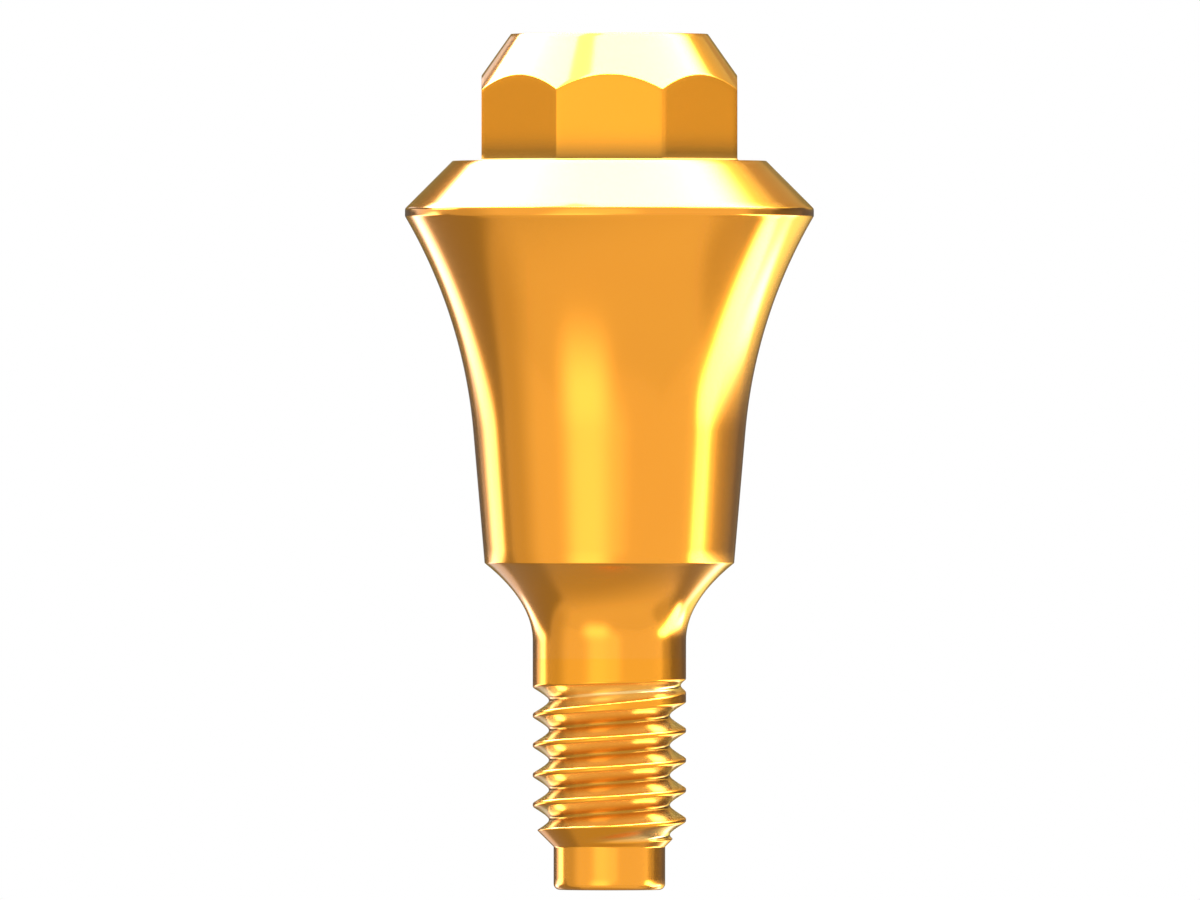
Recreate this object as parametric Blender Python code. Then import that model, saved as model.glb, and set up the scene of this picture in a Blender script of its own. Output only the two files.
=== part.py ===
# Straight screw-retained dental abutment, turned and milled in one piece with its own screw.
# +Z points out of the gum and the thread points down. The origin is the centre of the
# seating taper's lower edge, which is the edge that meets the implant's mouth.
import math

import bmesh
import bpy
from mathutils import Matrix, Vector

MM = 0.001

# Seating taper and flared collar, from the origin upwards
SEAT_DIAMETER = 2.93 * MM
SEAT_HALF_ANGLE = math.radians(4.9)
SEAT_LENGTH = 1.54 * MM
COLLAR_HEIGHT = 4.07 * MM
RIM_DIAMETER = 4.8 * MM
RIM_LAND = 0.09 * MM
RIM_ROUND = 0.05 * MM

# Platform cone that the bridge or coping sits on, from the rim's land to the shoulder
PLATFORM_HALF_ANGLE = math.radians(45)
PLATFORM_HEIGHT = 0.56 * MM

# Eight-sided head, from the shoulder upwards
HEAD_HEIGHT = 1.49 * MM
HEAD_SIDES = 8
HEAD_ACROSS_FLATS = 3.0 * MM
HEAD_TOP_DIAMETER = 2.31 * MM
HEAD_CONE_HALF_ANGLE = math.radians(35.2)
HEAD_FOOT_FILLET = 0.03 * MM
HEAD_STOCK = 0.06 * MM

# Blind hole for the prosthetic screw, drilled for an M1.4 x 0.3 thread
BORE_DIAMETER = 1.1 * MM
BORE_DEPTH = 3.2 * MM
BORE_POINT_HALF_ANGLE = math.radians(59)
COUNTERSINK_DIAMETER = 1.56 * MM
COUNTERSINK_HALF_ANGLE = math.radians(45)

# Throat and screw shank, from the origin downwards
THROAT_HEIGHT = 0.91 * MM
SHANK_DIAMETER = 1.8 * MM
THREAD_RELIEF = 0.42 * MM
THREAD_LENGTH = 2.0 * MM
LEAD_HALF_ANGLE = math.radians(45)
PILOT_DIAMETER = 1.31 * MM
PILOT_LENGTH = 0.505 * MM
PILOT_ROUND = 0.07 * MM

# Right-hand M1.8 x 0.35 thread: a 60 degree form whose groove fades out under the neck
THREAD_PITCH = 0.35 * MM
THREAD_HALF_ANGLE = math.radians(30)
THREAD_CREST_SHARE = 1 / 8
THREAD_ROOT_SHARE = 1 / 4
THREAD_FADE_TURNS = 0.75
THREAD_FADE_LIFT = 1.15  # in groove depths, so that the cutter ends clear of the shank
THREAD_END_ANGLE = math.radians(112.5)
CUTTER_OVERSHOOT = 0.03 * MM

# Facets round the axis, and along the curves of the profile
TURN_STEPS = 64
FLARE_STEPS = 16
THROAT_STEPS = 12
ROUND_STEPS = 3
FILLET_STEPS = 4
SMOOTH_ANGLE = math.radians(25)

COATING_COLOUR = (0.86, 0.42, 0.06, 1.0)
COATING_ROUGHNESS = 0.16


def clear_scene():
    for old in list(bpy.data.objects):
        bpy.data.objects.remove(old, do_unlink=True)


def add_object(name, mesh):
    made = bpy.data.objects.new(name, mesh)
    bpy.context.scene.collection.objects.link(made)
    return made


def coating_material():
    material = bpy.data.materials.new("gold_coated_titanium")
    material.use_nodes = True
    shader = material.node_tree.nodes["Principled BSDF"]
    shader.inputs["Base Color"].default_value = COATING_COLOUR
    shader.inputs["Metallic"].default_value = 1.0
    shader.inputs["Roughness"].default_value = COATING_ROUGHNESS
    material.diffuse_color = COATING_COLOUR
    return material


# Points of the arc of least turn that leaves start along a direction and ends at end.
# Profiles are drawn in two dimensions: x is the radius and y is the height.
def tangent_arc(start, direction, end, steps):
    direction = direction.normalized()
    normal = Vector((-direction.y, direction.x))
    chord = end - start
    signed_radius = chord.length_squared / (2 * chord.dot(normal))
    centre = start + normal * signed_radius
    turn = 2 * direction.angle_signed(chord)
    arm = start - centre
    return [centre + Matrix.Rotation(-turn * i / steps, 2) @ arm for i in range(steps + 1)]


# Points that replace a corner of the profile by an arc that touches both of its sides.
def rounded_corner(before, corner, after, radius, steps=ROUND_STEPS):
    back = (before - corner).normalized()
    ahead = (after - corner).normalized()
    tangent = radius / math.tan(back.angle(ahead) / 2)
    return tangent_arc(corner + back * tangent, -back, corner + ahead * tangent, steps)


def heights():
    shank_start = -THROAT_HEIGHT
    thread_end = shank_start - THREAD_RELIEF
    lead_foot = thread_end - THREAD_LENGTH
    shoulder = COLLAR_HEIGHT + RIM_LAND + PLATFORM_HEIGHT
    return {
        "tip": lead_foot - PILOT_LENGTH,
        "lead_foot": lead_foot,
        "thread_end": thread_end,
        "shank_start": shank_start,
        "shoulder": shoulder,
        "head_top": shoulder + HEAD_HEIGHT,
    }


# The drilled and countersunk hole, from its point on the axis up to the mouth.
def bore_profile(head_top):
    radius = BORE_DIAMETER / 2
    mouth = COUNTERSINK_DIAMETER / 2
    floor = head_top - BORE_DEPTH
    sink = (mouth - radius) / math.tan(COUNTERSINK_HALF_ANGLE)
    return [
        Vector((0, floor - radius / math.tan(BORE_POINT_HALF_ANGLE))),
        Vector((radius, floor)),
        Vector((radius, head_top - sink)),
        Vector((mouth, head_top)),
    ]


# The head as it is turned, before its flats are milled: round, and a little over the corners.
def head_profile(head_top):
    top = HEAD_TOP_DIAMETER / 2
    corner = HEAD_ACROSS_FLATS / 2 / math.cos(math.pi / HEAD_SIDES)
    stock = corner / math.cos(math.pi / TURN_STEPS) + HEAD_STOCK
    cone_height = (stock - top) / math.tan(HEAD_CONE_HALF_ANGLE)
    platform_top = COLLAR_HEIGHT + RIM_LAND
    platform_rise = (RIM_DIAMETER / 2 - stock) / math.tan(PLATFORM_HALF_ANGLE)
    return [
        Vector((top, head_top)),
        Vector((stock, head_top - cone_height)),
        Vector((stock, platform_top + platform_rise)),
    ]


# The rim, the flare, which is one arc tangent to the taper, and the taper itself.
def collar_profile(platform_point):
    rim = RIM_DIAMETER / 2
    rim_top = Vector((rim, COLLAR_HEIGHT + RIM_LAND))
    rim_foot = Vector((rim, COLLAR_HEIGHT))
    seat_edge = Vector((SEAT_DIAMETER / 2, 0))
    taper = Vector((math.sin(SEAT_HALF_ANGLE), math.cos(SEAT_HALF_ANGLE)))
    taper_top = seat_edge + taper * (SEAT_LENGTH / taper.y)
    flare = tangent_arc(taper_top, taper, rim_foot, FLARE_STEPS)[::-1]
    return [
        *rounded_corner(platform_point, rim_top, rim_foot, RIM_ROUND),
        *rounded_corner(rim_top, rim_foot, flare[1], RIM_ROUND),
        *flare[1:],
        seat_edge,
    ]


# The throat, from the seat's edge down: it is a parabola that leaves the shank without a
# step and widens with the square of the height above it. Then the shank, lead and pilot.
def shank_profile(level):
    shank = SHANK_DIAMETER / 2
    pilot = PILOT_DIAMETER / 2
    lead_height = (shank - pilot) / math.tan(LEAD_HALF_ANGLE)
    widening = SEAT_DIAMETER / 2 - shank
    rises = [1 - i / THROAT_STEPS for i in range(THROAT_STEPS + 1)]
    throat = [Vector((shank + widening * t**2, level["shank_start"] * (1 - t))) for t in rises]
    lead_foot = Vector((pilot, level["lead_foot"]))
    tip_edge = Vector((pilot, level["tip"]))
    tip = Vector((0, level["tip"]))
    return [
        *throat[1:],
        Vector((shank, level["lead_foot"] + lead_height)),
        lead_foot,
        *rounded_corner(lead_foot, tip_edge, tip, PILOT_ROUND),
        tip,
    ]


# A Screw modifier turns a profile in the XZ plane about Z.
def turned_object(name, profile, steps, closed=False):
    mesh = bpy.data.meshes.new(name)
    points = [(p.x, 0, p.y) for p in profile]
    edges = [(i, i + 1) for i in range(len(points) - 1)]
    if closed:
        edges.append((len(points) - 1, 0))
    mesh.from_pydata(points, edges, [])
    made = add_object(name, mesh)
    screw = made.modifiers.new("turn", "SCREW")
    screw.angle = math.tau
    screw.steps = steps
    screw.render_steps = steps
    screw.use_merge_vertices = True
    screw.merge_threshold = 0.001 * MM
    return made


# A ring with an eight-sided hole. What it takes away leaves the flats and the shoulder
# face, with a fillet between them. Half widths across flats become radii at the corners.
def flats_cutter(level):
    flat = HEAD_ACROSS_FLATS / 2
    shoulder = level["shoulder"]
    outside = RIM_DIAMETER
    above = level["head_top"] + HEAD_STOCK
    foot = Vector((flat, shoulder))
    outer_foot = Vector((outside, shoulder))
    inner_top = Vector((flat, above))
    outline = [
        Vector((outside, above)),
        outer_foot,
        *rounded_corner(outer_foot, foot, inner_top, HEAD_FOOT_FILLET, FILLET_STEPS),
        inner_top,
    ]
    to_corner = 1 / math.cos(math.pi / HEAD_SIDES)
    outline = [Vector((p.x * to_corner, p.y)) for p in outline]
    cutter = turned_object("flats_cutter", outline, HEAD_SIDES, closed=True)
    cutter.rotation_euler.z = math.pi / HEAD_SIDES
    return cutter


# The groove's section, a trapezium with its wide side outwards. It is drawn at full depth
# and moved outwards by lift, in groove depths.
def groove_section(lift):
    crest_gap = THREAD_PITCH * (1 - THREAD_CREST_SHARE) / 2
    root_gap = THREAD_PITCH * THREAD_ROOT_SHARE / 2
    slope = math.tan(THREAD_HALF_ANGLE)
    depth = (crest_gap - root_gap) / slope
    surface = SHANK_DIAMETER / 2 + lift * depth
    root = surface - depth
    outside = surface + CUTTER_OVERSHOOT
    mouth_gap = crest_gap + CUTTER_OVERSHOOT * slope
    return [
        Vector((outside, mouth_gap)),
        Vector((outside, -mouth_gap)),
        Vector((root, -root_gap)),
        Vector((root, root_gap)),
    ]


# The groove cutter: its section is carried down a right-hand helix from the point where
# the groove has faded out, sinks to full depth over the fade, and leaves past the lead.
def groove_cutter(level):
    run = level["thread_end"] - level["lead_foot"] + THREAD_PITCH
    steps = math.ceil(run / THREAD_PITCH * TURN_STEPS)
    work = bmesh.new()
    rings = []
    for i in range(steps + 1):
        turns = i / TURN_STEPS
        angle = THREAD_END_ANGLE - math.tau * turns
        height = level["thread_end"] - THREAD_PITCH * turns
        lift = THREAD_FADE_LIFT * max(0.0, 1 - turns / THREAD_FADE_TURNS)
        spin = Matrix.Rotation(angle, 3, "Z")
        section = groove_section(lift)
        corners = [spin @ Vector((p.x, 0, p.y + height)) for p in section]
        rings.append([work.verts.new(corner) for corner in corners])
    for upper, lower in zip(rings, rings[1:]):
        for j in range(len(upper)):
            k = (j + 1) % len(upper)
            work.faces.new((upper[j], upper[k], lower[k], lower[j]))
    work.faces.new(rings[0][::-1])
    work.faces.new(rings[-1])
    bmesh.ops.recalc_face_normals(work, faces=work.faces)
    bmesh.ops.triangulate(work, faces=work.faces)
    mesh = bpy.data.meshes.new("groove_cutter")
    work.to_mesh(mesh)
    work.free()
    return add_object("groove_cutter", mesh)


def cut_away(body, cutter):
    cutter.hide_render = True
    cutter.display_type = "WIRE"
    cut = body.modifiers.new(cutter.name, "BOOLEAN")
    cut.operation = "DIFFERENCE"
    cut.solver = "EXACT"
    cut.object = cutter


# Keeps the cut shape as the object's own mesh and shades it smooth up to its edges.
def finish_solid(body, cutters, material):
    bpy.context.view_layer.update()
    graph = bpy.context.evaluated_depsgraph_get()
    body.data = bpy.data.meshes.new_from_object(body.evaluated_get(graph))
    body.data.name = body.name
    body.modifiers.clear()
    for cutter in cutters:
        bpy.data.objects.remove(cutter, do_unlink=True)
    body.data.materials.clear()
    body.data.materials.append(material)
    body.data.shade_smooth()
    body.data.set_sharp_from_angle(angle=SMOOTH_ANGLE)


def build_abutment():
    level = heights()
    head = head_profile(level["head_top"])
    profile = [
        *bore_profile(level["head_top"]),
        *head,
        *collar_profile(head[-1]),
        *shank_profile(level),
    ]
    body = turned_object("abutment", profile, TURN_STEPS)
    cutters = [flats_cutter(level), groove_cutter(level)]
    for cutter in cutters:
        cut_away(body, cutter)
    finish_solid(body, cutters, coating_material())


clear_scene()
build_abutment()
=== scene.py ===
import math

import bpy
import numpy as np
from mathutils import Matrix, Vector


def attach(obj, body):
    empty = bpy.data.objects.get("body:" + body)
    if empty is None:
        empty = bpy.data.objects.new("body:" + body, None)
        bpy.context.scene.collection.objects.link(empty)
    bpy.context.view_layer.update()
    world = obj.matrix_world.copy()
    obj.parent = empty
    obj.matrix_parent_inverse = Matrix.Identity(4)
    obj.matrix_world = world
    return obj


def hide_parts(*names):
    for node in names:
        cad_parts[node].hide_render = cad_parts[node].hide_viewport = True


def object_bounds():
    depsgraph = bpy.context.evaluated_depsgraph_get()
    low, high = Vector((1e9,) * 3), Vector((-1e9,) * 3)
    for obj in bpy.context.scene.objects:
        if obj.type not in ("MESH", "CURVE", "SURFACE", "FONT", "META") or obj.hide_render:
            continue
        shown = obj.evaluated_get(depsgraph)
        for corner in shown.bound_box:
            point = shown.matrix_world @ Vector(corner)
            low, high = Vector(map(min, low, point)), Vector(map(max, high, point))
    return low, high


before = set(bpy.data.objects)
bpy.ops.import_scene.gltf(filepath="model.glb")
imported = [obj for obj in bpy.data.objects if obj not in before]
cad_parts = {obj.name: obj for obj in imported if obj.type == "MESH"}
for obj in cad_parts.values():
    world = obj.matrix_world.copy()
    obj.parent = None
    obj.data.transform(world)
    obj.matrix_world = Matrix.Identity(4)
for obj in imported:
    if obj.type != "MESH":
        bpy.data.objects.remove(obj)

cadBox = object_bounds()
mm = 0.001
print("frame loaded:", sorted(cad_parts))

# Sizes in millimetres. The head's top, the tip and the rim's radius come from the CAD box.
abutment = {
    "node": "abutment",
    "body": "root",
    "slot": "gold_coated_titanium",
    "headTop": cadBox[1][2] / mm,
    "tip": cadBox[0][2] / mm,
    "rimRadius": cadBox[1][0] / mm,
    "seatRadius": 1.465,
    "seatHalfAngle": math.radians(4.9),
    "seatLength": 1.54,
    "collarHeight": 4.07,
    "rimLand": 0.09,
    "rimRound": 0.05,
    "shoulderHeight": 4.72,
    "platformHalfAngle": math.radians(45),
    "headSides": 8,
    "headHalfWidth": 1.5,
    "headTopRadius": 1.155,
    "headConeHalfAngle": math.radians(35.2),
    "headFootFillet": 0.03,
    "headCornerRound": 0.02,
    "edgeRound": 0.018,
    "boreRadius": 0.55,
    "boreDepth": 3.2,
    "borePointHalfAngle": math.radians(59),
    "mouthRadius": 0.78,
    "throatHeight": 0.91,
    "shankRadius": 0.9,
    "leadFoot": -3.33,
    "pilotRadius": 0.655,
    "pilotRound": 0.07,
}

# Both threads are right-handed, with flanks at 60 degrees. A groove starts at fadeAngle and
# fadeHeight, lifted clear of the surface by fadeLift times its depth, and is full after
# fadeTurns turns. It runs down the shank (direction -1) or up the hole (direction 1).
shankThread = {
    "pitch": 0.35,
    "majorRadius": 0.9,
    "depth": 0.19,
    "flankHalfAngle": math.radians(30),
    "rootRound": 0.052,
    "crestRound": 0.018,
    "fadeTurns": 0.75,
    "fadeLift": 1.15,
    "fadeAngle": math.radians(112.5),
    "fadeHeight": -1.33,
    "direction": -1,
    "top": -1.12,
    "bottom": -3.42,
    "rowsPerPitch": 34,
}
boreThread = {
    "pitch": 0.3,
    "majorRadius": 0.7,
    "depth": 0.15,
    "flankHalfAngle": math.radians(30),
    "rootRound": 0.04,
    "crestRound": 0.03,
    "fadeTurns": 0.5,
    "fadeLift": 1.15,
    "fadeAngle": math.radians(40),
    "fadeHeight": 3.35,
    "direction": 1,
    "rowsPerPitch": 8,
}

# How finely the surface is divided: columns round the axis, for each flat and corner of
# the head, and rows along the profile, for each rounded edge and each stretch.
mesh = {
    "flatColumns": 20,
    "cornerColumns": 4,
    "edgeRows": 5,
    "borePointRows": 6,
    "mouthRows": 5,
    "topRows": 6,
    "headConeRows": 14,
    "flatRows": 12,
    "shoulderRows": 4,
    "platformRows": 10,
    "flareRows": 48,
    "taperRows": 10,
    "throatRows": 22,
    "neckRows": 5,
    "pilotRows": 5,
    "endRows": 5,
}

# Distances in millimetres that decide a face's finish.
zones = {
    "flatFoot": 0.05,  # a flat counts as milled from this far above the shoulder
    "offFlat": 0.004,  # as far from the flat's plane as a milled face may lie
    "footHeight": 0.08,  # the cutter's mark at the foot, above and below the shoulder
    "footWidth": 0.1,  # and out from the flat
    "mouthDepth": 0.01,  # the hole's finish begins this far below the top
}

# Painted shade in the corners: how far it reaches, in millimetres and for the thread's root as
# a share of the depth, and how strong it is. It is at full strength at the head's foot.
paintedShade = {
    "rootShare": 0.2,
    "rootStrength": 0.8,
    "seatReach": 0.3,
    "seatStrength": 0.2,
    "footRise": 0.2,
    "footReach": 0.14,
}


# Makes an object of the data and puts it in the scene.
def addToScene(name, data):
    made = bpy.data.objects.new(name, data)
    bpy.context.scene.collection.objects.link(made)
    return made


# Angles round the axis: even steps across each flat and a few close ones round each of
# the head's corners, where the surface turns quickly.
def columnAngles():
    side = math.tau / abutment["headSides"]
    touch = cornerTouchAngle()
    flat = np.linspace(-touch, touch, mesh["flatColumns"] + 1)
    corner = np.linspace(touch, side - touch, mesh["cornerColumns"] + 1)[1:-1]
    oneSide = np.concatenate([flat, corner])
    return (np.arange(abutment["headSides"])[:, None] * side + oneSide).ravel()


# The angle from a flat's middle at which its rounded corner begins: the tangent is how
# far along the flat that point lies, over the flat's distance from the axis.
def cornerTouchAngle():
    half = abutment["headHalfWidth"]
    inner = half - abutment["headCornerRound"]
    return math.atan(inner * math.tan(math.pi / abutment["headSides"]) / half)


# Radius of the eight-sided outline with rounded corners: the flat's distance over the
# cosine of the angle from its middle, and near a corner the far side of a small circle
# whose centre lies on the corner's own ray.
def eightSided(angles):
    side = math.tau / abutment["headSides"]
    half = abutment["headHalfWidth"]
    small = abutment["headCornerRound"]
    fromFlat = np.abs((angles + side / 2) % side - side / 2)
    fromCorner = side / 2 - fromFlat
    reach = (half - small) / math.cos(side / 2)
    inside = np.maximum(small**2 - (reach * np.sin(fromCorner)) ** 2, 0)
    arc = reach * np.cos(fromCorner) + np.sqrt(inside)
    return np.where(fromFlat < cornerTouchAngle(), half / np.cos(fromFlat), arc)


# Vectors divided by their own lengths.
def unit(v):
    return v / np.linalg.norm(v, axis=-1, keepdims=True)


# Rows of the arc that replaces a corner and touches both of its sides. The arm of the
# circle turns evenly from one touching point to the other.
def cornerArc(before, corner, after, radius, count):
    back = unit(before - corner)
    ahead = unit(after - corner)
    angle = np.arccos(np.clip((back * ahead).sum(-1, keepdims=True), -1, 1))
    centre = corner + unit(back + ahead) * radius / np.sin(angle / 2)
    reach = radius / np.tan(angle / 2)
    first = corner + back * reach - centre
    last = corner + ahead * reach - centre
    turn = np.pi - angle
    share = np.linspace(0, 1, count + 1)[:, None, None]
    arm = np.sin((1 - share) * turn) * first + np.sin(share * turn) * last
    return centre + arm / np.sin(turn)


# Points of an arc that leaves start along a direction and ends at end: its centre is on
# the line square to the direction, as far from the end as from the start.
def tangentArc(start, direction, end, count):
    start, direction, end = (np.array(v, float) for v in (start, direction, end))
    direction = direction / np.linalg.norm(direction)
    normal = np.array([-direction[1], direction[0]])
    chord = end - start
    radius = chord @ chord / (2 * chord @ normal)
    turn = 2 * math.atan2(chord @ normal, chord @ direction)
    angles = np.linspace(0, turn, count + 1)[:, None]
    return start + radius * (np.sin(angles) * direction + (1 - np.cos(angles)) * normal)


# A station of the profile: its place, the radius that rounds it, where 0 leaves it sharp,
# and how many rows the straight stretch after it is divided into.
def stationAt(radius, height, rounding=0.0, run=1):
    place = (np.asarray(radius, float), np.asarray(height, float))
    return {"at": place, "round": rounding, "run": run}


# The whole profile as rows of (radius, height) for every column: an arc or a point for
# each station, and even steps from the end of one to the start of the next.
def traceProfile(stations, columns):
    places = [np.stack(np.broadcast_arrays(*station["at"]), -1) for station in stations]
    points = [np.broadcast_to(place, (columns, 2)) for place in places]
    arcs = []
    for i, station in enumerate(stations):
        arc = points[i][None]
        if station["round"]:
            arc = cornerArc(*points[i - 1 : i + 2], station["round"], mesh["edgeRows"])
        arcs.append(arc)
    rows = [arcs[0]]
    for station, previous, following in zip(stations, arcs, arcs[1:]):
        share = np.linspace(0, 1, station["run"] + 1)[1:-1, None, None]
        rows.append(previous[-1] * (1 - share) + following[0] * share)
        rows.append(following)
    return np.concatenate(rows)


# The blind hole: the point that the drill leaves, the wall, and a mouth countersunk at 45
# degrees, so it is as deep as it is wider than the wall.
def boreStations():
    size = abutment
    top = size["headTop"]
    wallFoot = top - size["boreDepth"]
    point = wallFoot - size["boreRadius"] / math.tan(size["borePointHalfAngle"])
    sink = top - (size["mouthRadius"] - size["boreRadius"])
    threadRows = round((sink - wallFoot) / boreThread["pitch"] * boreThread["rowsPerPitch"])
    return [
        stationAt(0, point, run=mesh["borePointRows"]),
        stationAt(size["boreRadius"], wallFoot, run=threadRows),
        stationAt(size["boreRadius"], sink, run=mesh["mouthRows"]),
        stationAt(size["mouthRadius"], top, size["edgeRound"], mesh["topRows"]),
    ]


# The head, shoulder, platform cone and rim. The flats cut the head's cone in scallops,
# whose drop from the top is how far the flat lies outside the top's edge, over the
# tangent of the cone's half angle.
def headStations(angles):
    size = abutment
    edge = size["edgeRound"]
    top = size["headTop"]
    rim = size["rimRadius"]
    shoulder = size["shoulderHeight"]
    rimTop = size["collarHeight"] + size["rimLand"]
    flat = eightSided(angles)
    scallop = top - (flat - size["headTopRadius"]) / math.tan(size["headConeHalfAngle"])
    shoulderRadius = rim - (shoulder - rimTop) * math.tan(size["platformHalfAngle"])
    return [
        stationAt(size["headTopRadius"], top, edge, mesh["headConeRows"]),
        stationAt(flat, scallop, edge, mesh["flatRows"]),
        stationAt(flat, shoulder, size["headFootFillet"], mesh["shoulderRows"]),
        stationAt(shoulderRadius, shoulder, edge, mesh["platformRows"]),
        stationAt(rim, rimTop, size["rimRound"]),
        stationAt(rim, size["collarHeight"], size["rimRound"]),
    ]


# The collar flares along an arc that goes on from the seating taper to the rim. Below the
# taper's edge the throat's width grows with the square of the height above its foot.
def collarStations():
    size = abutment
    slope = math.tan(size["seatHalfAngle"])
    taperTop = (size["seatRadius"] + size["seatLength"] * slope, size["seatLength"])
    rimFoot = (size["rimRadius"], size["collarHeight"])
    flare = tangentArc(taperTop, (slope, 1), rimFoot, mesh["flareRows"])[::-1]
    rise = np.linspace(1, 0, mesh["throatRows"] + 1)[1:-1]
    throatRadius = size["shankRadius"] + (size["seatRadius"] - size["shankRadius"]) * rise**2
    throatLevel = size["throatHeight"] * (rise - 1)
    return [
        *[stationAt(r, z) for r, z in flare[1:-1]],
        stationAt(*taperTop, run=mesh["taperRows"]),
        stationAt(size["seatRadius"], 0, size["edgeRound"]),
        *[stationAt(r, z) for r, z in zip(throatRadius, throatLevel)],
    ]


# The neck, the shank, the 45 degree lead cone and the pilot tip, with rowsPerPitch rows
# to a pitch over all that the thread reaches.
def shankStations():
    size = abutment
    leadTop = size["leadFoot"] + size["shankRadius"] - size["pilotRadius"]
    rowsPerMm = shankThread["rowsPerPitch"] / shankThread["pitch"]
    allRows = round((shankThread["top"] - shankThread["bottom"]) * rowsPerMm)
    leadRows = round((leadTop - size["leadFoot"]) * rowsPerMm)
    belowRows = round((size["leadFoot"] - shankThread["bottom"]) * rowsPerMm)
    return [
        stationAt(size["shankRadius"], -size["throatHeight"], run=mesh["neckRows"]),
        stationAt(size["shankRadius"], shankThread["top"], run=allRows - leadRows - belowRows),
        stationAt(size["shankRadius"], leadTop, run=leadRows),
        stationAt(size["pilotRadius"], size["leadFoot"], run=belowRows),
        stationAt(size["pilotRadius"], shankThread["bottom"], run=mesh["pilotRows"]),
        stationAt(size["pilotRadius"], size["tip"], size["pilotRound"], mesh["endRows"]),
        stationAt(0, size["tip"]),
    ]


# The smaller of two surfaces, with the sharp ridge where they cross rounded off by a
# parabola that begins where they are width apart.
def smoothLeast(a, b, width):
    overlap = np.maximum(width - np.abs(a - b), 0) / width
    return np.minimum(a, b) - overlap**2 * width / 4


# Radius of a surface with a helical groove in it. The groove's centre line climbs one
# pitch a turn, its flanks are hyperbolas that lean towards the flank angle, and its lift
# shrinks evenly over its first turns. sign is 1 for a shank and -1 for a hole.
def cutThread(angles, radius, height, thread, sign):
    along = thread["direction"]
    turnShare = (angles - thread["fadeAngle"]) / math.tau
    climb = along * ((height - thread["fadeHeight"]) / thread["pitch"] - turnShare)
    nearest = np.round(climb)
    offset = (climb - nearest) * thread["pitch"]
    turns = along * turnShare + nearest
    lift = thread["fadeLift"] * np.maximum(1 - turns / thread["fadeTurns"], 0)
    soft = thread["rootRound"]
    flank = (np.sqrt(offset**2 + soft**2) - soft) / math.tan(thread["flankHalfAngle"])
    outer = thread["majorRadius"]
    if sign > 0:
        groove = outer - thread["depth"] + lift * thread["depth"] + flank
        return smoothLeast(radius, groove, thread["crestRound"])
    groove = outer - lift * thread["depth"] - flank
    return -smoothLeast(-radius, -groove, thread["crestRound"])


# The surface in rows round the axis, which run from the hole's point up, out to the rim
# and down to the tip: its radius before and after both threads are cut, and which rows
# lie in the hole and on the shank.
def cutSurface():
    angles = columnAngles()
    stations = boreStations() + headStations(angles) + collarStations() + shankStations()
    profile = traceProfile(stations, len(angles))
    uncut, height = profile[..., 0], profile[..., 1]
    inHole = np.arange(len(uncut)) < uncut[:, 0].argmax()
    inHole &= uncut[:, 0] <= abutment["mouthRadius"]
    inHole &= height[:, 0] > abutment["headTop"] - abutment["boreDepth"]
    onShank = (height[:, 0] < shankThread["top"]) & (uncut[:, 0] > 0)
    radius = uncut.copy()
    radius[inHole] = cutThread(angles, uncut[inHole], height[inHole], boreThread, -1)
    radius[onShank] = cutThread(angles, uncut[onShank], height[onShank], shankThread, 1)
    return {
        "angles": angles,
        "uncut": uncut,
        "radius": radius,
        "height": height,
        "inHole": inHole,
        "onShank": onShank,
    }


# Slopes of a closed grid along one axis. At each point the two neighbouring chords count
# by each other's length, which is exact for a parabola through the three points.
def gridSlopes(grid, axis):
    ahead = np.roll(grid, -1, axis) - grid
    back = grid - np.roll(grid, 1, axis)
    aheadLength = np.linalg.norm(ahead, axis=-1, keepdims=True)
    backLength = np.linalg.norm(back, axis=-1, keepdims=True)
    return ahead / aheadLength * backLength + back / backLength * aheadLength


# Normals, square to the slopes along the profile and round the axis, of every row but the
# first and last, which lie together at the poles.
def smoothNormals(grid):
    down = gridSlopes(grid, 0)[1:-1]
    around = gridSlopes(grid[1:-1], 1)
    return unit(np.cross(down, around))


# Quads of a grid that closes round its columns, and a fan of triangles at each pole.
def gridFaces(rows, columns):
    here = np.arange(columns)
    beside = np.roll(here, -1)
    row = np.arange(rows - 1)[:, None] * columns
    quads = np.stack([row + here, row + columns + here, row + columns + beside, row + beside], -1)
    firstPole = rows * columns
    lastRow = (rows - 1) * columns
    topFan = np.stack([np.full(columns, firstPole), here, beside], -1)
    endFan = np.stack([np.full(columns, firstPole + 1), lastRow + beside, lastRow + here], -1)
    return quads.reshape(-1, 4), topFan, endFan


# The number of each face's finish, in the order of toolMarks, by where its middle lies:
# milled on the flats and at their feet, threaded in the hole and on the screw, polished
# on the rest above the collar, and turned elsewhere. Rows before the head's top are
# inside. The fans at the hole's point and at the tip come last.
def faceFinishes(surface):
    radius, height = surface["radius"], surface["height"]
    middle = (radius[1:-2] + radius[2:-1]) / 2
    level = (height[1:-2] + height[2:-1]) / 2
    topRow = np.isclose(height[:, 0], abutment["headTop"]).argmax()
    outside = np.arange(len(middle))[:, None] > topRow
    fromFlat = middle - eightSided(surface["angles"])
    fromShoulder = level - abutment["shoulderHeight"]
    onFlat = (fromShoulder > zones["flatFoot"]) & (np.abs(fromFlat) < zones["offFlat"])
    atFoot = (np.abs(fromShoulder) <= zones["footHeight"]) & (fromFlat < zones["footWidth"])
    inHole = ~outside & (level < abutment["headTop"] - zones["mouthDepth"])
    onScrew = (level < shankThread["top"]) & (level > abutment["leadFoot"])
    aboveCollar = outside & (level > abutment["collarHeight"])

    turned, polished, milled, threaded = range(len(toolMarks))
    places = [outside & (onFlat | atFoot), inHole | onScrew, aboveCollar]
    quads = np.select(places, [milled, threaded, polished], turned)
    fans = np.repeat([threaded, turned], len(surface["angles"]))
    return np.concatenate([quads.ravel(), fans])
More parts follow.
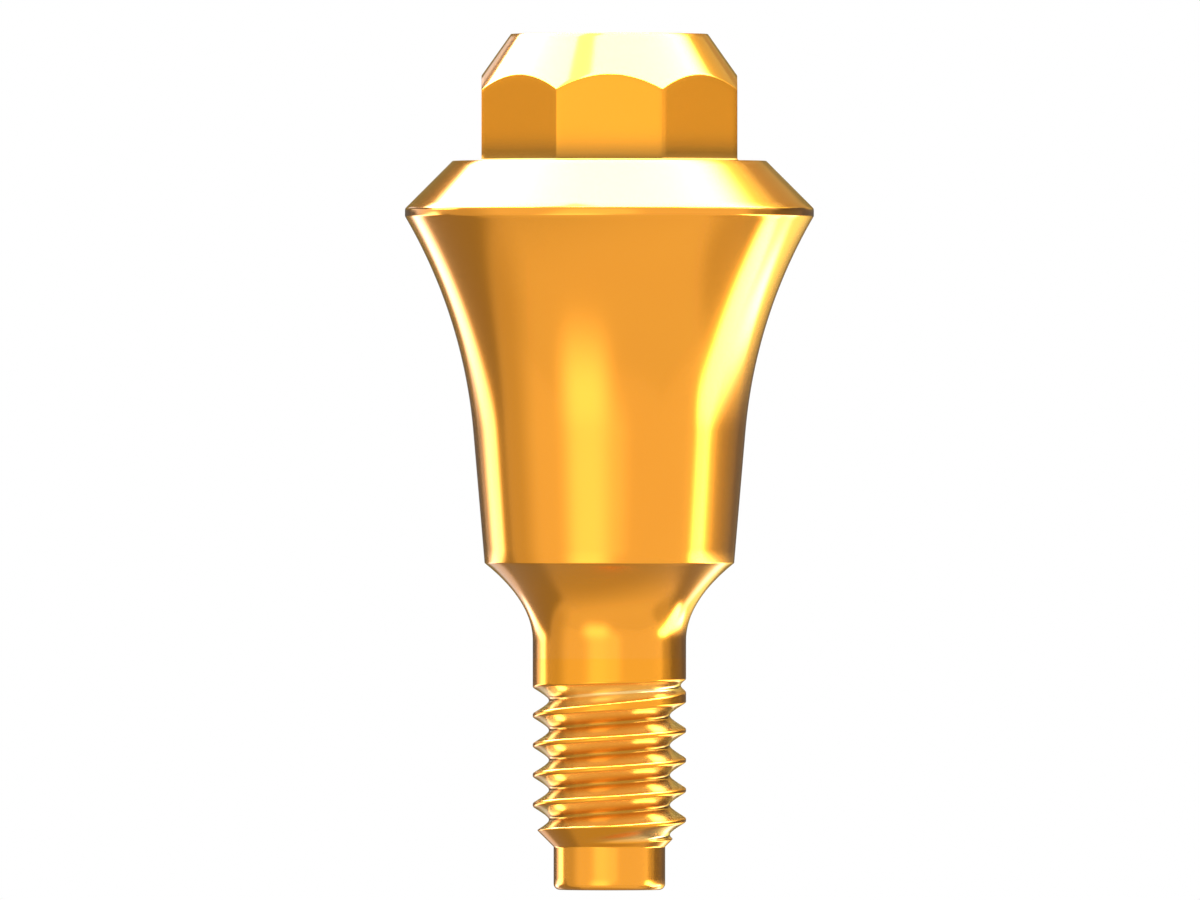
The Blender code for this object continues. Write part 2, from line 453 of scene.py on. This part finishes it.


# Values at each point for the materials. toolTravel is the distance along the profile in
# millimetres, which the tool marks follow. shelter is highest half way down the thread's
# flanks and in the hole, where it paints the colour paler, partly as painted light. corner
# is painted shade: highest at the thread's root, under the seat's edge and at the foot of
# the head, where it falls off as a bell curve.
def pointValues(surface):
    uncut, radius, height = surface["uncut"], surface["radius"], surface["height"]
    inHole, onShank = surface["inHole"], surface["onShank"]
    steps = np.hypot(np.diff(uncut[:, 0]), np.diff(height[:, 0]))
    travel = np.concatenate([[0], np.cumsum(steps)])[:, None]

    # Partly painted light: shelter paints the thread's flanks and the hole paler, for a thinner coating
    # there and to cancel the deeper orange of their reflections in each other.
    depthShare = np.clip((uncut - radius)[onShank] / shankThread["depth"], 0, 1)
    shelter = np.zeros_like(radius)
    shelter[onShank] = np.sin(np.pi * depthShare)
    shelter[inHole] = 1

    # Painted shade: corner browns the coating at the thread's root, under the seat's edge and at the
    # head's foot.
    corner = np.zeros_like(radius)
    root = np.clip(1 - (1 - depthShare) / paintedShade["rootShare"], 0, 1)
    corner[onShank] = root * paintedShade["rootStrength"]
    inThroat = (height < 0) & (height > -abutment["throatHeight"])
    underSeat = np.clip(1 + height[inThroat] / paintedShade["seatReach"], 0, 1)
    corner[inThroat] = underSeat * paintedShade["seatStrength"]
    up = (height - abutment["shoulderHeight"]) / paintedShade["footRise"]
    out = (radius - eightSided(surface["angles"])) / paintedShade["footReach"]
    corner = np.maximum(corner, np.exp(-(up**2) - out**2))
    return {
        "toolTravel": np.broadcast_to(travel, radius.shape),
        "shelter": shelter,
        "corner": corner,
    }


# The abutment's mesh: the surface's rows carried round the axis as rings of points, and
# one point at each pole.
def buildAbutment(finishes):
    surface = cutSurface()
    angles, radius = surface["angles"], surface["radius"]
    grid = np.stack([radius * np.cos(angles), radius * np.sin(angles), surface["height"]], -1) * mm
    rings = grid[1:-1]
    points = np.concatenate([rings.reshape(-1, 3), grid[[0, -1], 0]])
    normals = np.concatenate([smoothNormals(grid).reshape(-1, 3), [[0, 0, 1], [0, 0, -1]]])
    quads, topFan, endFan = gridFaces(len(rings), len(angles))

    made = bpy.data.meshes.new("abutmentFinish")
    made.from_pydata(points, [], [*quads.tolist(), *topFan.tolist(), *endFan.tolist()])
    made.polygons.foreach_set("use_smooth", np.ones(len(made.polygons), bool))
    made.polygons.foreach_set("material_index", faceFinishes(surface).astype(np.int32))
    for name, values in pointValues(surface).items():
        perPoint = np.concatenate([values[1:-1].ravel(), values[[0, -1], 0]])
        attribute = made.attributes.new(name, "FLOAT", "POINT")
        attribute.data.foreach_set("value", perPoint.astype(np.float32))
    for finish in finishes:
        made.materials.append(finish)
    made.update()
    made.normals_split_custom_set_from_vertices(normals.tolist())
    print("abutment:", len(points), "points,", len(made.polygons), "faces")
    return addToScene("abutmentBody", made)


# Materials

# An sRGB hex colour in linear light: each channel over 12.92 near black, and elsewhere
# raised to the power 2.4.
def linearColour(hexCode):
    parts = [int(hexCode[i : i + 2], 16) / 255 for i in (1, 3, 5)]
    return tuple(c / 12.92 if c <= 0.04045 else ((c + 0.055) / 1.055) ** 2.4 for c in parts) + (1.0,)


# Adds a node to a material or world, sets its properties and input values, and links
# inputs given as sockets.
def addNode(owner, kind, inputs=None, **settings):
    tree = owner.node_tree
    node = tree.nodes.new(kind)
    for name, value in settings.items():
        setattr(node, name, value)
    for name, value in (inputs or {}).items():
        if isinstance(value, bpy.types.NodeSocket):
            tree.links.new(value, node.inputs[name])
        else:
            node.inputs[name].default_value = value
    return node


# The value that a mesh keeps at its points under this name.
def readAttribute(owner, name):
    return addNode(owner, "ShaderNodeAttribute", attribute_name=name).outputs["Fac"]


# Goes from a colour to a hex colour as the factor goes from 0 to 1. 6 and 7 are the mix
# node's two colour inputs, and 2 is its colour output.
def mixColour(owner, factor, colour, hexCode):
    inputs = {"Factor": factor, 6: colour, 7: linearColour(hexCode)}
    return addNode(owner, "ShaderNodeMix", inputs, data_type="RGBA").outputs[2]


# Titanium with a gold nitride coating from a vacuum chamber, a few micrometres thick, so
# it copies the machined metal under it. It is bright and mirror-like, a deep orange
# yellow. It is painted paler on sheltered faces, partly for a thinner coating there and
# partly as painted light that cancels the deeper orange these faces mirror off each other,
# and painted brown in the corners as painted shade. The clear gloss on top isn't
# a real layer: it makes the brightest reflections white, as they are to the eye.
nitride = {
    "colour": "#f9a42a",
    "warmColour": "#f59d26",
    "shelteredColour": "#f3cd86",
    "paintedShadeColour": "#a07228",
    "cloudSize": 1.6,
    "roughnessSpread": 0.015,
    "glossIor": 1.5,
    "glossRoughness": 0.05,
}

# Each finish: the width of its tool marks and how deep they read, in millimetres, the
# roughness, and how much of the clear gloss shows. The marks are drawn wider than real
# ones, which are too fine to show.
toolMarks = {
    "turned": {"width": 0.05, "depth": 0.00006, "roughness": 0.17, "gloss": 0.45},
    "polished": {"width": 0.05, "depth": 0.00003, "roughness": 0.13, "gloss": 0.6},
    "milled": {"width": 0.07, "depth": 0.00008, "roughness": 0.2, "gloss": 0.2},
    "threaded": {"width": 0.06, "depth": 0.0001, "roughness": 0.18, "gloss": 0.15},
}


# The coating on one kind of surface. Soft clouds go between two near colours and between
# slightly more and less rough, two attributes tint it, and noise along the profile makes
# the rings that the tools left.
def nitrideFinish(name, marks):
    material = bpy.data.materials.new(name)
    material.use_nodes = True
    tree = material.node_tree
    shader = tree.nodes["Principled BSDF"]
    clouds = addNode(material, "ShaderNodeTexNoise", {
        "Vector": addNode(material, "ShaderNodeTexCoord").outputs["Object"],
        "Scale": 1 / (nitride["cloudSize"] * mm),
        "Detail": 2.0,
    }).outputs["Fac"]
    colour = linearColour(nitride["colour"])
    colour = mixColour(material, clouds, colour, nitride["warmColour"])
    # Partly painted light: the shelter attribute paints the flanks and the hole paler, cancelling the
    # deeper orange they mirror off each other.
    shelter = readAttribute(material, "shelter")
    colour = mixColour(material, shelter, colour, nitride["shelteredColour"])
    # Painted shade: the corner attribute browns the colour where shade falls in the corners.
    corner = readAttribute(material, "corner")
    colour = mixColour(material, corner, colour, nitride["paintedShadeColour"])
    roughness = addNode(material, "ShaderNodeMapRange", {
        "Value": clouds,
        "To Min": marks["roughness"] - nitride["roughnessSpread"],
        "To Max": marks["roughness"] + nitride["roughnessSpread"],
    })
    rings = addNode(material, "ShaderNodeTexNoise", {
        "W": readAttribute(material, "toolTravel"),
        "Scale": 1 / marks["width"],
        "Detail": 3.0,
        "Roughness": 0.6,
    }, noise_dimensions="1D")
    bump = addNode(material, "ShaderNodeBump", {
        "Height": rings.outputs["Fac"],
        "Strength": 1.0,
        "Distance": marks["depth"] * mm,
    })
    tree.links.new(colour, shader.inputs["Base Color"])
    tree.links.new(roughness.outputs["Result"], shader.inputs["Roughness"])
    tree.links.new(bump.outputs["Normal"], shader.inputs["Normal"])
    shader.inputs["Metallic"].default_value = 1.0
    shader.inputs["Coat Weight"].default_value = marks["gloss"]
    shader.inputs["Coat IOR"].default_value = nitride["glossIor"]
    shader.inputs["Coat Roughness"].default_value = nitride["glossRoughness"]
    return material


finishes = []
for name, marks in toolMarks.items():
    finishes.append(nitrideFinish("goldNitride" + name.capitalize(), marks))
print("materials:", [finish.name for finish in finishes])

body = buildAbutment(finishes)
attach(body, abutment["body"])
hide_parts(abutment["node"])


# Studio

# Directions are given as seen from the abutment: azimuth 0 is towards the camera and
# grows to the right, elevation is up, all in degrees. Levels are radiances, where the
# white room is 1 as it is seen. fillLevel is what it gives the rays that only light
# things.
room = {
    "seenLevel": 1.0,
    "fillLevel": 0.5,
}

# Softboxes and cards round the abutment, each a patch of a sphere. at is its middle, size
# its width and height, roll its turn, corner the round of its outline's corners and soft
# the width over which its edge fades, all in degrees. A card hides those after it, which
# lie further out.
white = "#ffffff"
ivory = "#fcfaec"
gold = "#ffe68a"
citron = "#f8f69a"
cards = {
    # The bright strips down both sides of the collar, throat and neck.
    "leftBox": dict(at=(-133, -9), size=(50, 17), roll=20, corner=8, soft=7, level=4.0, colour=white),
    "rightBox": dict(at=(105, -20), size=(47, 18), roll=-28, corner=9, soft=6, level=8.0, colour=white),
    "rightFill": dict(at=(109, -15), size=(64, 17), roll=-6, corner=8, soft=8, level=7.0, colour=white),
    "leftSpot": dict(at=(-158, -20), size=(24, 24), corner=10, soft=6, level=0.85, colour=white),
    "rightTail": dict(at=(147, -25), size=(44, 12), corner=5, soft=5, level=2.4, colour=white),
    # The thread's spots of light and the shade beside them.
    "threadLeft": dict(at=(-110, 14), size=(28, 16), corner=7, soft=6, level=8.0, colour=white),
    "threadRight": dict(at=(77, 30), size=(52, 13), roll=-18, corner=6, soft=6, level=8.0, colour=white),
    "threadDark": dict(at=(-139, 17), size=(34, 22), corner=8, soft=6, level=0.2, colour=ivory),
    "threadShade": dict(at=(131, 12), size=(44, 22), corner=9, soft=6, level=0.12, colour=ivory),
    # The yellow streak on the head's cone, and the glow down the middle of the part.
    "gapAbove": dict(at=(-49, 66), size=(16, 34), corner=4, soft=4, level=5.0, colour=white),
    "frontGlow": dict(at=(-20, -17), size=(56, 44), corner=22, soft=22, level=2.1, colour=white),
    "frontFill": dict(at=(-7, -1), size=(60, 44), corner=22, soft=14, level=1.35, colour=white),
    # The left and right edges of the two cones, the side flats, and the sides' dark bands.
    "headLeft": dict(at=(-155, 17), size=(26, 7), roll=36, corner=3, soft=3, level=1.1, colour=white),
    "goldSpot": dict(at=(139, 28), size=(30, 10), roll=-35, corner=5, soft=5, level=0.75, colour=citron),
    "blackBack": dict(at=(180, 0), size=(84, 13), corner=6, soft=6, level=0.12, colour=ivory),
    "rightDark": dict(at=(130, 0), size=(56, 18), corner=7, soft=7, level=0.19, colour=ivory),
    "rightShade": dict(at=(117, 0), size=(72, 28), corner=12, soft=12, level=0.42, colour=ivory),
    "goldLeft": dict(at=(-171.5, 2), size=(51, 84), corner=20, soft=7, level=0.22, colour=gold),
    "brownRight": dict(at=(162, 15), size=(71, 71), corner=35, soft=17, level=0.45, colour=gold),
    "goldRight": dict(at=(163, 15), size=(114, 114), corner=57, soft=22, level=1.7, colour=citron),
    "greyLeft": dict(at=(-123, -30), size=(52, 62), corner=10, soft=7, level=0.35, colour=ivory),
    "leftShade": dict(at=(-94, -15), size=(62, 82), corner=28, soft=24, level=0.68, colour=ivory),
    # What the undersides mirror, and the softbox above that whitens both cones.
    "backLower": dict(at=(172, -44), size=(126, 40), corner=18, soft=14, level=0.34, colour=ivory),
    "rightLower": dict(at=(98, -36), size=(50, 34), corner=16, soft=12, level=0.68, colour=ivory),
    "underShade": dict(at=(-155, -73), size=(116, 116), corner=58, soft=40, level=0.56, colour=ivory),
    "overhead": dict(at=(180, 70), size=(110, 110), corner=55, soft=6, level=16.0, colour=white),
}

# Each card lies on a sphere of its own, a step further out than the one before, and is
# divided into as many cells along its width as along its height.
cardSpheres = {
    "nearest": 200 * mm,
    "step": 12 * mm,
    "cells": 32,
}


# The unit vector towards an azimuth and an elevation: the azimuth's sine along X and its
# cosine along -Y, both times the elevation's cosine, and the elevation's sine along Z.
def towards(azimuth, elevation):
    a, e = math.radians(azimuth), math.radians(elevation)
    return np.array([math.sin(a) * math.cos(e), -math.cos(a) * math.cos(e), math.sin(e)])


# Softbox cloth, and plain card where the level is low. Both are matt and evenly lit, so
# they read as flat patches of light or shade, which fade out where cover falls to 0.
def cardMaterial(name, card):
    material = bpy.data.materials.new(name)
    material.use_nodes = True
    nodes, links = material.node_tree.nodes, material.node_tree.links
    nodes.remove(nodes["Principled BSDF"])
    clear = addNode(material, "ShaderNodeBsdfTransparent")
    glow = addNode(material, "ShaderNodeEmission", {
        "Color": linearColour(card["colour"]),
        "Strength": card["level"],
    })
    mix = addNode(material, "ShaderNodeMixShader", {0: readAttribute(material, "cover")})
    links.new(clear.outputs["BSDF"], mix.inputs[1])
    links.new(glow.outputs["Emission"], mix.inputs[2])
    links.new(mix.outputs[0], nodes["Material Output"].inputs["Surface"])
    return material


# A card is a grid of turns away from its middle direction: u degrees along its width and
# v along its height. Its cover is how deep a point lies inside the rounded outline, as a
# share of the soft edge, eased at both ends.
def addCard(name, card, distance):
    middle = towards(*card["at"])
    across = towards(card["at"][0] + 90, 0)
    upward = np.cross(across, middle)
    if upward[2] < 0:
        upward = -upward
    roll = math.radians(card.get("roll", 0))
    across, upward = (
        across * math.cos(roll) + upward * math.sin(roll),
        upward * math.cos(roll) - across * math.sin(roll),
    )
    half = np.array(card["size"]) / 2
    cells = cardSpheres["cells"]
    share = np.linspace(-1, 1, cells + 1)
    u, v = np.meshgrid(share * half[0], share * half[1])
    beyond = np.stack([np.abs(u), np.abs(v)], -1) - half + card["corner"]
    outside = np.linalg.norm(np.maximum(beyond, 0), axis=-1)
    outline = outside + np.minimum(beyond.max(-1), 0) - card["corner"]
    depth = np.clip(-outline / card["soft"], 0, 1)
    cover = depth**2 * (3 - 2 * depth)
    turn = np.radians(np.hypot(u, v))[..., None]
    side = np.radians(u)[..., None] * across + np.radians(v)[..., None] * upward
    points = np.cos(turn) * middle + np.sinc(turn / np.pi) * side
    start = np.arange(cells)[:, None] * (cells + 1) + np.arange(cells)
    faces = np.stack([start, start + cells + 1, start + cells + 2, start + 1], -1).reshape(-1, 4)
    made = bpy.data.meshes.new(name)
    made.from_pydata((points.reshape(-1, 3) * distance).tolist(), [], faces.tolist())
    covered = made.attributes.new("cover", "FLOAT", "POINT")
    covered.data.foreach_set("value", cover.ravel().astype(np.float32))
    made.materials.append(cardMaterial(name, card))
    piece = addToScene(name, made)
    piece.visible_camera = False
    piece.visible_diffuse = False
    piece.visible_shadow = False


for step, (name, card) in enumerate(cards.items()):
    addCard(name, card, cardSpheres["nearest"] + cardSpheres["step"] * step)


lamp = {
    "height": 450 * mm,
    "size": 500 * mm,
    "level": 1.0,
}


# A broad round lamp above, for the floor. Its power is its radiance times pi times its
# area.
def addRoomLamp():
    light = bpy.data.lights.new("roomLamp", "AREA")
    light.shape = "DISK"
    light.size = lamp["size"]
    light.energy = lamp["level"] * math.pi * math.pi * light.size**2 / 4
    made = addToScene("roomLamp", light)
    made.location = (0, 0, lamp["height"])
    made.visible_camera = False
    made.visible_glossy = False


# The rays that see the room plainly white: the camera's, and those mirrored or passed on.
def seesRoom(owner):
    path = addNode(owner, "ShaderNodeLightPath").outputs
    either = addNode(owner, "ShaderNodeMath", {
        0: path["Is Camera Ray"],
        1: path["Is Glossy Ray"],
    }, operation="MAXIMUM")
    return addNode(owner, "ShaderNodeMath", {
        0: either.outputs[0],
        1: path["Is Transmission Ray"],
    }, operation="MAXIMUM").outputs[0]


floor = {
    "colour": "#f2f2f0",
    "roughness": 0.9,
    "glow": 0.46,
    "height": -500 * mm,
    "size": 2.4,
}


# Pale matt paper for a floor, far below, as the photograph shows none. It has no shine,
# and its glow for the rays that see the room brings it up to the background's white.
def addFloor():
    material = bpy.data.materials.new("paleFloor")
    material.use_nodes = True
    shader = material.node_tree.nodes["Principled BSDF"]
    shader.inputs["Base Color"].default_value = linearColour(floor["colour"])
    shader.inputs["Roughness"].default_value = floor["roughness"]
    shader.inputs["Specular IOR Level"].default_value = 0.0
    shader.inputs["Emission Color"].default_value = linearColour(white)
    glow = addNode(material, "ShaderNodeMapRange", {
        "Value": seesRoom(material),
        "To Min": 0.0,
        "To Max": floor["glow"],
    })
    material.node_tree.links.new(glow.outputs["Result"], shader.inputs["Emission Strength"])
    made = bpy.data.meshes.new("floor")
    half = floor["size"] / 2
    z = floor["height"]
    corners = [(-half, -half, z), (half, -half, z), (half, half, z), (-half, half, z)]
    made.from_pydata(corners, [], [(0, 1, 2, 3)])
    made.materials.append(material)
    addToScene("floor", made)


# The white room all round, dimmer for the rays that only light things.
def lightRoom():
    world = bpy.data.worlds.new("whiteRoom")
    world.use_nodes = True
    background = world.node_tree.nodes["Background"]
    background.inputs["Color"].default_value = linearColour(white)
    level = addNode(world, "ShaderNodeMapRange", {
        "Value": seesRoom(world),
        "To Min": room["fillLevel"],
        "To Max": room["seenLevel"],
    })
    world.node_tree.links.new(level.outputs["Result"], background.inputs["Strength"])
    bpy.context.scene.world = world


addRoomLamp()
addFloor()
lightRoom()
print("studio:", len(cards), "cards")


# The photograph is square on to the axis, from far away: 85.2 pixels to a millimetre in
# a frame 1200 pixels wide, with the axis at pixel 609.4 and the origin at row 563. near
# and far are the ends of what the camera sees, in metres.
view = {
    "pixelsPerMm": 85.2,
    "frameWidth": 1200,
    "frameHeight": 900,
    "axisColumn": 609.4,
    "originRow": 563.0,
    "lens": 1000.0,
    "sensor": 36.0,
    "near": 0.01,
    "far": 20,
}


# The camera's distance is the width it sees times its lens over its sensor.
def placeCamera():
    camera = bpy.data.cameras.new("camera")
    camera.lens = view["lens"]
    camera.sensor_width = view["sensor"]
    camera.clip_start = view["near"]
    camera.clip_end = view["far"]
    wide = view["frameWidth"] / view["pixelsPerMm"] * mm
    distance = wide * view["lens"] / view["sensor"]
    made = addToScene("camera", camera)
    made.location = (
        (view["frameWidth"] / 2 - view["axisColumn"]) / view["pixelsPerMm"] * mm,
        -distance,
        (view["originRow"] - view["frameHeight"] / 2) / view["pixelsPerMm"] * mm,
    )
    made.rotation_euler = (math.pi / 2, 0, 0)
    bpy.context.scene.camera = made


placeCamera()
bpy.context.scene.view_settings.view_transform = "Standard"
